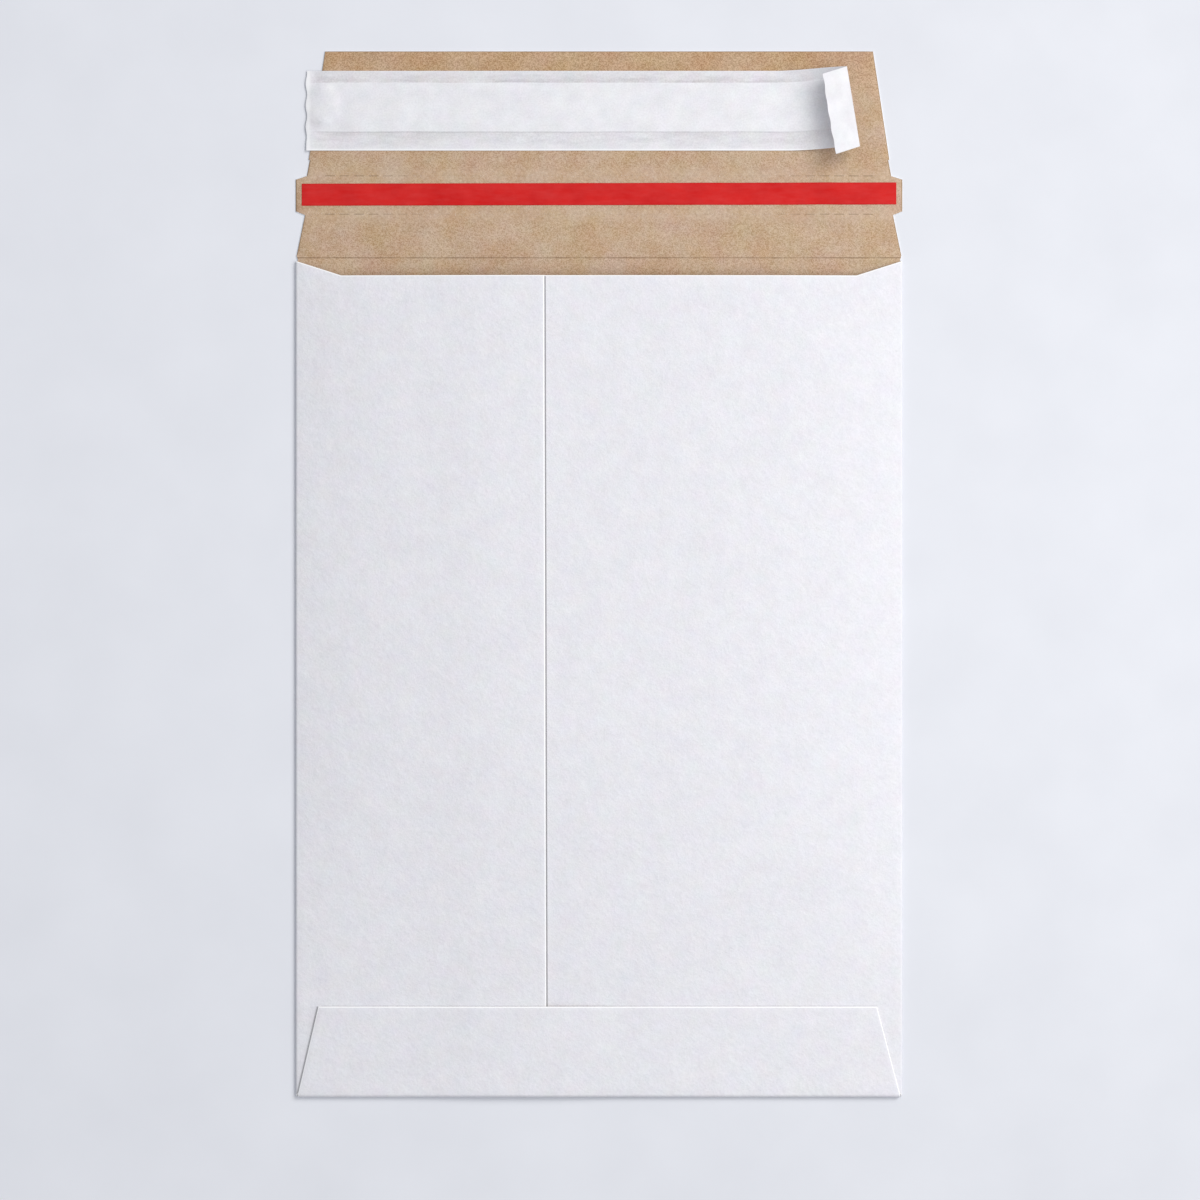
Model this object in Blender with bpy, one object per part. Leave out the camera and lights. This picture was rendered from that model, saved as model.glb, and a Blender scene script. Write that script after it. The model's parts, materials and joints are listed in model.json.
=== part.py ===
"""Calendar envelope of solid board, lying on its front with the closing flap swung open.

One die-cut blank makes the pocket and the flap: white outside, brown kraft inside. The sides fold over
and meet in a glued seam, the bottom flap folds up over them, and the closing flap carries a red tear
tape and a band of adhesive under a white release liner, whose right end is peeled up and folded back.

Metres, +Z up. +X is to the right and +Y towards the closing flap, as seen from above. The origin is on
the floor, under the middle of the open envelope.
"""

import math

import bmesh
import bpy
from mathutils import Vector

# The blank
POCKET_WIDTH = 0.250
POCKET_LENGTH = 0.346  # bottom fold to flap score
FLAP_LENGTH = 0.0852  # flap score to the flap's free edge
BOARD = 0.0006

# The pocket's hollow: pinched at the bottom and along the sides, bowed open at the mouth
SIDE_FOLD_GAP = 0.0006
MOUTH_GAPE = 0.0048
BOW_LENGTH = 0.150  # from the bottom fold to where the back has its full bow
BOW_POWER = 4

# The mouth, where the back panels are cut lower than the score
LIP_DROP = 0.0074
CORNER_DROP = 0.0016
CORNER_RUN = 0.018

# The long seam: the left panel lies on the right one, with a film of glue between them
SEAM_FROM_MIDDLE = 0.0217
SEAM_OVERLAP = 0.020
SEAM_GLUE_WIDTH = 0.014
SEAM_GLUE_END = 0.010  # glue stops this far below the lip
PANEL_RAMP = 0.036  # over which the board climbs on to the layer under it

# The bottom flap, glued over both back panels
BOTTOM_FLAP_LENGTH = 0.0374
BOTTOM_FLAP_TAPER = 0.0095  # at each side, from fold to free edge
BOTTOM_GLUE_START = 0.009
BOTTOM_GLUE_LENGTH = 0.018
BOTTOM_GLUE_SIDE = 0.014

# The closing flap's sides, each inset measured from the pocket's side
SCORE_CUT = 0.0003
FLAP_BASE_INSET = 0.0003
FLAP_TOP_INSET = 0.0119
TAB_LOWER_NOTCH_INSET = 0.0036
TAB_UPPER_NOTCH_INSET = 0.0045
TAB_OVERHANG = 0.0001
TAB_LOWER_SLOPE = 0.0015
TAB_UPPER_SLOPE = 0.0015
NICK_INSET = 0.0057
NICK_STEP = 0.0006
NICK_BEYOND_STRIP = 0.0065

# The tear strip: two rows of half-depth cuts from outside, with a red tape on the kraft side between them
TEAR_STRIP_START = 0.0180
TEAR_STRIP_WIDTH = 0.0158
TEAR_CUT_LENGTH = 0.0040
TEAR_CUT_PITCH = 0.0060
TEAR_CUT_WIDTH = 0.0004
TEAR_CUT_DEPTH = 0.0003
TEAR_TAPE_WIDTH = 0.0087
TEAR_TAPE_OFF_MIDDLE = 0.0004  # from the strip's middle, towards the free edge
TEAR_TAPE_INSET = 0.0024
TEAR_TAPE = 0.0001

# The adhesive band and its release liner
ADHESIVE_START = 0.0525
ADHESIVE_WIDTH = 0.0192
ADHESIVE = 0.0003
ADHESIVE_LEFT_INSET = 0.0125
ADHESIVE_RIGHT_INSET = 0.0270
LINER_START = 0.0442
LINER_WIDTH = 0.0329
LINER = 0.00012
LINER_LEFT_INSET = 0.0043
LINER_SHOULDER = 0.0016  # over which the liner steps up on to the adhesive
LIFT_INSET = 0.0495  # from the pocket's right side to where the liner leaves the flap
LIFT_LENGTH = 0.030
LIFT_ANGLE = math.radians(28)
PEEL_SLANT = math.radians(9.3)
PEEL_DRIFT = 0.0018  # how far the peeled end strays towards the flap's free edge
FOLD_BACK_RADIUS = 0.00035
FOLD_BACK_END_ANGLE = math.radians(165)
FOLD_BACK_LENGTH = 0.0108
FOLD_BACK_CURL = math.radians(-10)
RAGGED_EDGE = 0.0004

GLUE = 0.0001
SEAT = 0.00005  # clearance between a thin layer and what it lies on

# Worked out from the above
HALF_WIDTH = POCKET_WIDTH / 2
TOTAL_LENGTH = POCKET_LENGTH + FLAP_LENGTH
FOLD_RADIUS = (SIDE_FOLD_GAP + BOARD) / 2  # of the board's middle layer
FOLD_X = HALF_WIDTH - FOLD_RADIUS - BOARD / 2
LAYER_STEP = BOARD + GLUE + 2 * SEAT  # one panel's face above the one under it
BOTTOM_FOLD_RADIUS = (SIDE_FOLD_GAP + BOARD + LAYER_STEP) / 2
FOLD_START = BOTTOM_FOLD_RADIUS + BOARD / 2  # where the bottom fold ends and the flat panels begin
SEAM_X = -SEAM_FROM_MIDDLE
RIGHT_PANEL_EDGE = SEAM_X - SEAM_OVERLAP
LIP_Y = POCKET_LENGTH - LIP_DROP
LINER_MIDDLE = LINER_START + LINER_WIDTH / 2
LIFT_X = HALF_WIDTH - LIFT_INSET

LONGEST_STEP = 0.016  # widest facet of a bowed panel
FOLD_SEGMENTS = 6
RAMP_FACETS = 6
LAP_FACETS = 3

WHITE = (0.86, 0.86, 0.89, 1.0)
KRAFT = (0.52, 0.37, 0.24, 1.0)
RED = (0.62, 0.03, 0.03, 1.0)
LINER_WHITE = (0.82, 0.82, 0.84, 1.0)
ADHESIVE_CLEAR = (0.74, 0.70, 0.58, 1.0)
GLUE_CREAM = (0.70, 0.66, 0.55, 1.0)


def clear_scene():
    for obj in list(bpy.data.objects):
        bpy.data.objects.remove(obj)


def material(name, colour, roughness):
    made = bpy.data.materials.new(name)
    made.use_nodes = True
    surface = made.node_tree.nodes["Principled BSDF"]
    surface.inputs["Base Color"].default_value = colour
    surface.inputs["Roughness"].default_value = roughness
    surface.inputs["Metallic"].default_value = 0.0
    return made


def smooth(share):
    """0 to 1 with level ends."""
    share = min(max(share, 0.0), 1.0)
    return share * share * (3 - 2 * share)


def stations(*breaks, longest=LONGEST_STEP):
    """Places from the first break to the last, each break among them and none further apart than longest."""
    places = [breaks[0]]
    for start, end in zip(breaks, breaks[1:]):
        steps = max(1, math.ceil(abs(end - start) / longest - 1e-9))
        places += [start + (end - start) * i / steps for i in range(1, steps + 1)]
    return places


def shares(count):
    return [i / count for i in range(count + 1)]


def add_grid(bm, columns):
    """Quads between neighbouring columns of points, facing the way of next row cross next column."""
    rings = [[bm.verts.new(point) for point in column] for column in columns]
    for left, right in zip(rings, rings[1:]):
        for low, high in zip(range(len(left)), range(1, len(left))):
            bm.faces.new((left[low], right[low], right[high], left[high]))


def add_object(name, bm, location, materials):
    mesh = bpy.data.meshes.new(name)
    bm.to_mesh(mesh)
    bm.free()
    for each in materials:
        mesh.materials.append(each)
    obj = bpy.data.objects.new(name, mesh)
    obj.location = location
    bpy.context.scene.collection.objects.link(obj)
    return obj


def give_thickness(obj, thickness):
    """Half to each side of the sheet. The side that the faces look away from takes the last material."""
    solidify = obj.modifiers.new("thickness", "SOLIDIFY")
    solidify.thickness = thickness
    solidify.offset = 0
    solidify.use_even_offset = True
    solidify.material_offset = len(obj.data.materials) - 1
    obj.data.shade_smooth()
    obj.data.set_sharp_from_angle(angle=math.radians(35))
    return obj


# The pocket, in its own frame: y from the bottom fold's outer edge, z from the floor


def hollow(x, y):
    """Height of the free space between the front and back panels."""
    rise = smooth((y - FOLD_START) / BOW_LENGTH)
    across = 1 - min(abs(x) / FOLD_X, 1.0) ** BOW_POWER
    return SIDE_FOLD_GAP + (MOUTH_GAPE - SIDE_FOLD_GAP) * rise * across


def back_middle(x, y):
    """Middle layer of a back panel that lies straight over the hollow."""
    return BOARD + hollow(x, y) + BOARD / 2


def left_panel_lift(x):
    """The left panel climbs on to the right panel's hidden margin."""
    return LAYER_STEP * smooth((x - (RIGHT_PANEL_EDGE - PANEL_RAMP)) / (PANEL_RAMP - BOARD))


def bottom_flap_lift(x):
    """The bottom flap lies on the left panel, and steps down to the right one past the seam."""
    if x <= SEAM_X:
        return LAYER_STEP + left_panel_lift(x)
    return LAYER_STEP + LAYER_STEP * (1 - smooth((x - SEAM_X - BOARD) / PANEL_RAMP))


def back_top(x):
    """Cut edge of a back panel: from the side fold it slopes down to the lip."""
    run = min((FOLD_X - abs(x)) / CORNER_RUN, 1.0)
    return POCKET_LENGTH - CORNER_DROP - (LIP_DROP - CORNER_DROP) * run


def along(top):
    """Rows of the pocket, from the bottom fold to a column's top edge."""
    rows = stations(0, BOTTOM_FLAP_LENGTH, BOW_LENGTH, POCKET_LENGTH)
    return [FOLD_START + row / POCKET_LENGTH * (top - FOLD_START) for row in rows]


def back_column(x, lift):
    return [Vector((x, y, back_middle(x, y) + lift)) for y in along(back_top(x))]


def side_fold_column(side, turn):
    """turn is 0 at the front panel and 1 at the back one."""
    angle = math.pi * turn
    x = side * (FOLD_X + FOLD_RADIUS * math.sin(angle))
    z = BOARD / 2 + FOLD_RADIUS * (1 - math.cos(angle))
    front_top = POCKET_LENGTH - SCORE_CUT / 2
    top = front_top + (back_top(FOLD_X) - front_top) * turn
    return [Vector((x, y, z)) for y in along(top)]


def front_stations():
    """Across the front panel, closer where the bottom flap steps over the seam."""
    ramp_start = RIGHT_PANEL_EDGE - PANEL_RAMP
    ramp_end = SEAM_X + PANEL_RAMP
    left = stations(-FOLD_X, ramp_start)
    seam = stations(ramp_start, RIGHT_PANEL_EDGE, SEAM_X, ramp_end, longest=PANEL_RAMP / RAMP_FACETS)
    right = stations(ramp_end, FOLD_X)
    return left + seam[1:] + right[1:]


def front_column(x):
    return [Vector((x, y, BOARD / 2)) for y in along(POCKET_LENGTH - SCORE_CUT / 2)]


def left_panel_stations():
    ramp_start = RIGHT_PANEL_EDGE - PANEL_RAMP
    lapped = stations(SEAM_X, RIGHT_PANEL_EDGE, longest=SEAM_OVERLAP / LAP_FACETS)
    ramp = stations(RIGHT_PANEL_EDGE, ramp_start, longest=PANEL_RAMP / RAMP_FACETS)
    return lapped + ramp[1:] + stations(ramp_start, -FOLD_X)[1:]


def right_panel_stations():
    return stations(FOLD_X, SEAM_X, RIGHT_PANEL_EDGE)


def wrap_columns():
    """The wrap from the seam edge over the left panel, the front and the right panel, with its side folds."""
    columns = [back_column(x, left_panel_lift(x)) for x in left_panel_stations()]
    columns += [side_fold_column(-1, 1 - turn) for turn in shares(FOLD_SEGMENTS)[1:]]
    columns += [front_column(x) for x in front_stations()[1:]]
    columns += [side_fold_column(1, turn) for turn in shares(FOLD_SEGMENTS)[1:]]
    return columns + [back_column(x, 0.0) for x in right_panel_stations()[1:]]


def bottom_flap_middle(x, y):
    return back_middle(x, y) + bottom_flap_lift(x)


def bottom_column(x):
    """From the bottom flap's free edge down over it and round the bottom fold to the front panel."""
    points = []
    for share in reversed(shares(3)[1:]):
        y = FOLD_START + (BOTTOM_FLAP_LENGTH - FOLD_START) * share
        narrowed = x * (1 - BOTTOM_FLAP_TAPER / FOLD_X * share)
        points.append(Vector((narrowed, y, bottom_flap_middle(narrowed, y))))
    low = BOARD / 2
    high = bottom_flap_middle(x, FOLD_START)
    for turn in shares(FOLD_SEGMENTS):
        angle = math.pi * turn
        y = FOLD_START - BOTTOM_FOLD_RADIUS * math.sin(angle)
        z = (low + high) / 2 + (high - low) / 2 * math.cos(angle)
        points.append(Vector((x, y, z)))
    return points


def make_pocket(white, kraft):
    bm = bmesh.new()
    add_grid(bm, wrap_columns())
    add_grid(bm, [bottom_column(x) for x in front_stations()])
    bmesh.ops.remove_doubles(bm, verts=bm.verts, dist=SEAT / 10)
    for face in bm.faces:
        face.normal_flip()
    pocket = add_object("pocket", bm, (0, -TOTAL_LENGTH / 2, 0), [white, kraft])
    return give_thickness(pocket, BOARD)


def make_glue_film(name, x_places, y_places, middle, glue):
    """A film that follows the panels it joins. middle gives its height at a place."""
    bm = bmesh.new()
    add_grid(bm, [[Vector((x, y, middle(x, y))) for y in y_places(x)] for x in x_places])
    film = add_object(name, bm, (0, -TOTAL_LENGTH / 2, 0), [glue])
    return give_thickness(film, GLUE)


def make_seam_glue(glue):
    middle_x = SEAM_X - SEAM_OVERLAP / 2
    x_places = stations(middle_x - SEAM_GLUE_WIDTH / 2, middle_x + SEAM_GLUE_WIDTH / 2)

    def y_places(x):
        last = LIP_Y - SEAM_GLUE_END
        return [y for y in along(back_top(x)) if FOLD_START < y < last] + [last]

    def middle(x, y):
        return back_middle(x, y) + BOARD / 2 + SEAT + GLUE / 2

    return make_glue_film("seam_glue", x_places, y_places, middle, glue)


def make_bottom_glue(side, glue):
    """One film on each back panel: up to the lap on the left, clear of the flap's step on the right."""
    outer = side * (FOLD_X - BOTTOM_FLAP_TAPER - BOTTOM_GLUE_SIDE)
    inner = RIGHT_PANEL_EDGE if side < 0 else SEAM_X + BOARD + PANEL_RAMP
    panel = left_panel_stations() if side < 0 else right_panel_stations()
    start, end = sorted((outer, inner))
    x_places = [start] + sorted(x for x in panel if start < x < end) + [end]

    def y_places(x):
        return [BOTTOM_GLUE_START + BOTTOM_GLUE_LENGTH * share for share in shares(2)]

    def middle(x, y):
        lift = left_panel_lift(x) if side < 0 else 0.0
        return back_middle(x, y) + lift + BOARD / 2 + SEAT + GLUE / 2

    name = "bottom_glue_left" if side < 0 else "bottom_glue_right"
    return make_glue_film(name, x_places, y_places, middle, glue)


# The closing flap, in the frame of its hinge: y from the score, z from the kraft face


def flap_side():
    """The flap's right side, from the score to the free edge."""
    strip_end = TEAR_STRIP_START + TEAR_STRIP_WIDTH
    nick_y = strip_end + NICK_BEYOND_STRIP
    tab_x = HALF_WIDTH + TAB_OVERHANG
    return [
        (HALF_WIDTH - FLAP_BASE_INSET, SCORE_CUT / 2),
        (HALF_WIDTH - TAB_LOWER_NOTCH_INSET, TEAR_STRIP_START - TEAR_CUT_WIDTH),
        (tab_x, TEAR_STRIP_START - TEAR_CUT_WIDTH + TAB_LOWER_SLOPE),
        (tab_x, strip_end - TAB_UPPER_SLOPE),
        (HALF_WIDTH - TAB_UPPER_NOTCH_INSET, strip_end),
        (HALF_WIDTH - NICK_INSET, nick_y),
        (HALF_WIDTH - NICK_INSET + NICK_STEP, nick_y),
        (HALF_WIDTH - FLAP_TOP_INSET, FLAP_LENGTH),
    ]


def extruded_plate(outline, low, high):
    """A plate of an outline between two heights, its top face in the second material if it has one."""
    bm = bmesh.new()
    bottom = bm.faces.new([bm.verts.new((x, y, low)) for x, y in reversed(outline)])
    grown = bmesh.ops.extrude_face_region(bm, geom=[bottom], use_keep_orig=True)
    raised = [item for item in grown["geom"] if isinstance(item, bmesh.types.BMVert)]
    bmesh.ops.translate(bm, verts=raised, vec=(0, 0, high - low))
    bmesh.ops.recalc_face_normals(bm, faces=bm.faces)
    return bm


def make_closing_flap(hinge, white, kraft):
    right = flap_side()
    outline = right + [(-x, y) for x, y in reversed(right)]
    bm = extruded_plate(outline, -BOARD, 0)
    for face in bm.faces:
        face.material_index = 1 if face.normal.z > 0.5 else 0
    flap = add_object("closing_flap", bm, (0, 0, 0), [white, kraft])
    flap.parent = hinge
    cut = flap.modifiers.new("tear cuts", "BOOLEAN")
    cut.operation = "DIFFERENCE"
    cut.solver = "EXACT"
    cut.object = make_tear_cuts(hinge)
    return flap


def make_tear_cuts(hinge):
    """Cutter for both rows of tear cuts, open below the flap's outer face."""
    strip_end = TEAR_STRIP_START + TEAR_STRIP_WIDTH
    run = 2 * (HALF_WIDTH - TAB_UPPER_NOTCH_INSET - TEAR_CUT_PITCH)
    count = int((run - TEAR_CUT_LENGTH) / TEAR_CUT_PITCH) + 1
    first = -((count - 1) * TEAR_CUT_PITCH + TEAR_CUT_LENGTH) / 2
    bm = bmesh.new()
    for row_y in (TEAR_STRIP_START, strip_end):
        for i in range(count):
            left = first + i * TEAR_CUT_PITCH
            box = bmesh.ops.create_cube(bm, size=1)["verts"]
            size = (TEAR_CUT_LENGTH, TEAR_CUT_WIDTH, 2 * TEAR_CUT_DEPTH)
            bmesh.ops.scale(bm, verts=box, vec=size)
            bmesh.ops.translate(bm, verts=box, vec=(left + TEAR_CUT_LENGTH / 2, row_y, -BOARD))
    cutter = add_object("tear_cuts", bm, (0, 0, 0), [])
    cutter.parent = hinge
    cutter.hide_render = True
    cutter.display_type = "WIRE"
    return cutter


def make_strip(name, left, right, start, width, thickness, hinge, finish):
    """A flat band stuck on the kraft face."""
    outline = [(left, start), (right, start), (right, start + width), (left, start + width)]
    band = add_object(name, extruded_plate(outline, SEAT, SEAT + thickness), (0, 0, 0), [finish])
    band.parent = hinge
    return band


def make_tear_tape(hinge, finish):
    reach = HALF_WIDTH - TEAR_TAPE_INSET
    start = TEAR_STRIP_START + (TEAR_STRIP_WIDTH - TEAR_TAPE_WIDTH) / 2 + TEAR_TAPE_OFF_MIDDLE
    return make_strip("tear_tape", -reach, reach, start, TEAR_TAPE_WIDTH, TEAR_TAPE, hinge, finish)


def make_adhesive(hinge, finish):
    left = -HALF_WIDTH + ADHESIVE_LEFT_INSET
    right = HALF_WIDTH - ADHESIVE_RIGHT_INSET
    return make_strip("adhesive_band", left, right, ADHESIVE_START, ADHESIVE_WIDTH, ADHESIVE, hinge, finish)


def liner_relief(x, y):
    """How far the liner stands above its margins: it steps up over the adhesive."""
    over_band = min(
        smooth((y - ADHESIVE_START + LINER_SHOULDER) / LINER_SHOULDER),
        smooth((ADHESIVE_START + ADHESIVE_WIDTH + LINER_SHOULDER - y) / LINER_SHOULDER),
    )
    left_end = -HALF_WIDTH + ADHESIVE_LEFT_INSET
    past_end = smooth((x - left_end + LINER_SHOULDER) / LINER_SHOULDER)
    return (ADHESIVE + SEAT) * over_band * past_end


def peel_curve(length):
    """The peeled end's profile at a length past where it leaves the flap: (run, height, angle)."""
    lift_radius = LIFT_LENGTH / LIFT_ANGLE
    lifted = min(length, LIFT_LENGTH) / lift_radius
    run = lift_radius * math.sin(lifted)
    height = lift_radius * (1 - math.cos(lifted))
    angle = lifted
    turn = FOLD_BACK_END_ANGLE - LIFT_ANGLE
    fold_length = FOLD_BACK_RADIUS * turn
    if length > LIFT_LENGTH:
        folded = min(length - LIFT_LENGTH, fold_length) / FOLD_BACK_RADIUS
        run += FOLD_BACK_RADIUS * (math.sin(angle + folded) - math.sin(angle))
        height += FOLD_BACK_RADIUS * (math.cos(angle) - math.cos(angle + folded))
        angle += folded
    past = length - LIFT_LENGTH - fold_length
    if past > 0:
        curl_radius = FOLD_BACK_LENGTH / FOLD_BACK_CURL
        curled = past / curl_radius
        run += curl_radius * (math.sin(angle + curled) - math.sin(angle))
        height += curl_radius * (math.cos(angle) - math.cos(angle + curled))
        angle += curled
    return run, height, angle


def peeled_point(length, y, relief):
    """Bends a place of the flat liner, length past the lift line and at y, about a slanted axis."""
    across = Vector((math.cos(PEEL_SLANT), math.sin(PEEL_SLANT), 0))
    axis = Vector((math.sin(PEEL_SLANT), -math.cos(PEEL_SLANT), 0))
    from_middle = y - LINER_MIDDLE
    flat_x = (length - from_middle * math.sin(PEEL_SLANT)) / math.cos(PEEL_SLANT)
    on_axis = flat_x * math.sin(PEEL_SLANT) - from_middle * math.cos(PEEL_SLANT)
    run, height, angle = peel_curve(length)
    upright = Vector((0, 0, 1)) * math.cos(angle) - across * math.sin(angle)
    drift = PEEL_DRIFT * smooth(length / LIFT_LENGTH)
    start = Vector((LIFT_X, LINER_MIDDLE + drift, SEAT + LINER / 2))
    return start + axis * on_axis + across * run + Vector((0, 0, height)) + upright * relief


def ragged(y, waves):
    """A hand-torn end's wander either side of its line."""
    phase = (y - LINER_START) / LINER_WIDTH * 2 * math.pi
    return RAGGED_EDGE * (math.sin(waves * phase) + 0.5 * math.sin(2.3 * waves * phase + 1))


def liner_rows():
    """Across the liner, closer at the shoulders of the adhesive."""
    shoulder = LINER_SHOULDER
    top = ADHESIVE_START + ADHESIVE_WIDTH
    lower = stations(LINER_START, ADHESIVE_START - shoulder)
    step_up = stations(ADHESIVE_START - shoulder, ADHESIVE_START, longest=shoulder / 3)
    band = stations(ADHESIVE_START, top, longest=LONGEST_STEP / 3)
    step_down = stations(top, top + shoulder, longest=shoulder / 3)
    upper = stations(top + shoulder, LINER_START + LINER_WIDTH)
    return lower + step_up[1:] + band[1:] + step_down[1:] + upper[1:]


def lying_column(place, rows):
    """A column of the liner's stuck length: ragged at the left end, slanted where the liner lifts."""
    left = -HALF_WIDTH + LINER_LEFT_INSET
    band = -HALF_WIDTH + ADHESIVE_LEFT_INSET
    torn = max(0.0, 1 - (place - left) / (band - LINER_SHOULDER - left))
    slanted = max(0.0, (place - band) / (LIFT_X - band))
    points = []
    for y in rows:
        x = place + ragged(y, 1) * torn + (y - LINER_MIDDLE) * math.tan(PEEL_SLANT) * -slanted
        points.append(Vector((x, y, SEAT + LINER / 2 + liner_relief(x, y))))
    return points


def peeled_column(length, rows, ragged_share):
    fold_ends = LIFT_LENGTH + FOLD_BACK_RADIUS * (FOLD_BACK_END_ANGLE - LIFT_ANGLE)
    flattened = 1 - smooth((length - LIFT_LENGTH / 2) / (LIFT_LENGTH / 2))
    points = []
    for y in rows:
        relief = liner_relief(0, y) * flattened
        reach = length + ragged(y, 1.5) * ragged_share if length > fold_ends else length
        points.append(peeled_point(reach, y, relief))
    return points


def make_release_liner(hinge, finish):
    rows = liner_rows()
    left = -HALF_WIDTH + LINER_LEFT_INSET
    band = -HALF_WIDTH + ADHESIVE_LEFT_INSET
    fold_length = FOLD_BACK_RADIUS * (FOLD_BACK_END_ANGLE - LIFT_ANGLE)
    ends = stations(left, band - LINER_SHOULDER)
    shoulder = stations(band - LINER_SHOULDER, band, longest=LINER_SHOULDER / 3)
    columns = [lying_column(place, rows) for place in ends + shoulder[1:] + stations(band, LIFT_X)[1:]]
    columns += [peeled_column(LIFT_LENGTH * share, rows, 0) for share in shares(8)[1:]]
    columns += [peeled_column(LIFT_LENGTH + fold_length * share, rows, 0) for share in shares(8)[1:]]
    beyond = LIFT_LENGTH + fold_length
    columns += [peeled_column(beyond + FOLD_BACK_LENGTH * share, rows, share) for share in shares(4)[1:]]
    bm = bmesh.new()
    add_grid(bm, columns)
    liner = add_object("release_liner", bm, (0, 0, 0), [finish])
    liner.parent = hinge
    return give_thickness(liner, LINER)


def make_hinge():
    """The flap's score: an axis along X, on the kraft face."""
    hinge = bpy.data.objects.new("flap_hinge", None)
    hinge.location = (0, POCKET_LENGTH - TOTAL_LENGTH / 2, BOARD)
    bpy.context.scene.collection.objects.link(hinge)
    return hinge


def main():
    clear_scene()
    white = material("board_white", WHITE, 0.75)
    kraft = material("board_kraft", KRAFT, 0.85)
    glue = material("glue", GLUE_CREAM, 0.6)
    make_pocket(white, kraft)
    make_seam_glue(glue)
    for side in (-1, 1):
        make_bottom_glue(side, glue)
    hinge = make_hinge()
    make_closing_flap(hinge, white, kraft)
    make_tear_tape(hinge, material("tear_tape", RED, 0.45))
    make_adhesive(hinge, material("adhesive", ADHESIVE_CLEAR, 0.2))
    make_release_liner(hinge, material("release_liner", LINER_WHITE, 0.4))


main()
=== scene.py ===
"""Looks of the calendar envelope: the board, tapes and liner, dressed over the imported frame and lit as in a
plain daylight studio, seen from straight above."""

import json
import math

import bmesh
import bpy
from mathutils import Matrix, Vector, noise


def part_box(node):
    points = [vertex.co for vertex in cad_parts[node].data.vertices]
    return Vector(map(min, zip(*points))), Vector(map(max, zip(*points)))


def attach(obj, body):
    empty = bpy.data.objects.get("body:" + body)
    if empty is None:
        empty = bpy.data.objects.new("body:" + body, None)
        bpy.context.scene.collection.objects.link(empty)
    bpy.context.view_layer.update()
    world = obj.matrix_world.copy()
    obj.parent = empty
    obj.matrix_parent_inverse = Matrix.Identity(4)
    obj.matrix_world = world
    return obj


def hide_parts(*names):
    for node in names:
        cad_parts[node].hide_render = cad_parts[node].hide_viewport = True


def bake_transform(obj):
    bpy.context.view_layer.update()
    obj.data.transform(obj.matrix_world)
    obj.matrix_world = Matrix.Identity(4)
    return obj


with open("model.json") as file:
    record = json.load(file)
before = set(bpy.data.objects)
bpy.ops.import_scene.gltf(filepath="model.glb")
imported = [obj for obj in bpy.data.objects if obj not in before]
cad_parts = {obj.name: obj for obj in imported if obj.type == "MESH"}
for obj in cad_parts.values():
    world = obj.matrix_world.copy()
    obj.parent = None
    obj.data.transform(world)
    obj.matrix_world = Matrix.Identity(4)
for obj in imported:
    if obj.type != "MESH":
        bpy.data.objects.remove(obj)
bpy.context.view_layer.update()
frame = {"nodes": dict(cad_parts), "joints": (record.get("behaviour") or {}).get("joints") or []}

# Sizes that the frame gives
POCKET_LOW, POCKET_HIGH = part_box("pocket")
FLAP_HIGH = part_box("closing_flap")[1]
TAPE_LOW, TAPE_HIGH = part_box("tear_tape")
BAND_LOW, BAND_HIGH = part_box("adhesive_band")
SCORE_Y, KRAFT_Z = frame["joints"][0]["pos_m"][1:]
BOTTOM_Y = POCKET_LOW[1]
HALF_WIDTH = POCKET_HIGH[0]
POCKET_LENGTH = SCORE_Y - BOTTOM_Y
FLAP_LENGTH = FLAP_HIGH[1] - SCORE_Y

# The board and its folds
BOARD = 0.0006
SIDE_FOLD_GAP = 0.0006
LAYER_STEP = 0.0008
FOLD_RADIUS = (SIDE_FOLD_GAP + BOARD) / 2
FOLD_X = HALF_WIDTH - FOLD_RADIUS - BOARD / 2
BOTTOM_FOLD_RADIUS = (SIDE_FOLD_GAP + BOARD + LAYER_STEP) / 2
FOLD_START = BOTTOM_FOLD_RADIUS + BOARD / 2
HALF_SCORE = 0.0012
GROOVE_DEPTH = 0.00012
GROOVE_WIDTH = 0.00035
CUT_SLOPE = 0.00045  # the knife leaves the white side's cut edges sloping
THIN_SLOPE = 0.00003  # and the tape's and the liner's hardly

# The bowed back, the mouth and the seam
MOUTH_GAPE = 0.0048
BOW_LENGTH = 0.150
BOW_POWER = 4
LIP_DROP = 0.0074
CORNER_DROP = 0.0016
CORNER_RUN = 0.018
CORNER_STEPS = 6
PANEL_STEP = 0.0022
SWAY_HEIGHT = 0.00016
SEAM_X = -0.0217
RIGHT_PANEL_EDGE = SEAM_X - 0.020
PANEL_RAMP = 0.036
BOTTOM_FLAP_LENGTH = 0.0374
BOTTOM_FLAP_TAPER = 0.0095
LEFT_TAPER_LESS = 0.0011  # the bottom flap's left corner lies this much further out
BOTTOM_FLAP_STEPS = 14
SEAM_SLANT = 0.0009  # how far the seam has run to the left by the time it meets the mouth

# The closing flap, its sides as distance past the score and half width
FLAP_BASE_X = 0.1247
TAB_X = 0.1251
FLAP_SIDES = (
    (0.0176, 0.1214),
    (0.0191, TAB_X),
    (0.0323, TAB_X),
    (0.0338, 0.1205),
    (0.0403, 0.1193),
    (0.0404, 0.1199),
    (FLAP_LENGTH, 0.1131),
)
TEAR_LINES = (0.0180, 0.0338)
TEAR_CUT_LENGTH = 0.0040
TEAR_CUT_PITCH = 0.0060
TEAR_CUT_WIDTH = 0.0004
TEAR_CUTS = 38
FIRST_CUT_X = -((TEAR_CUTS - 1) * TEAR_CUT_PITCH + TEAR_CUT_LENGTH) / 2
FLAP_EDGE_SLOPE = 0.0004  # the flap's brown face is worn round at its edges

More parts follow.
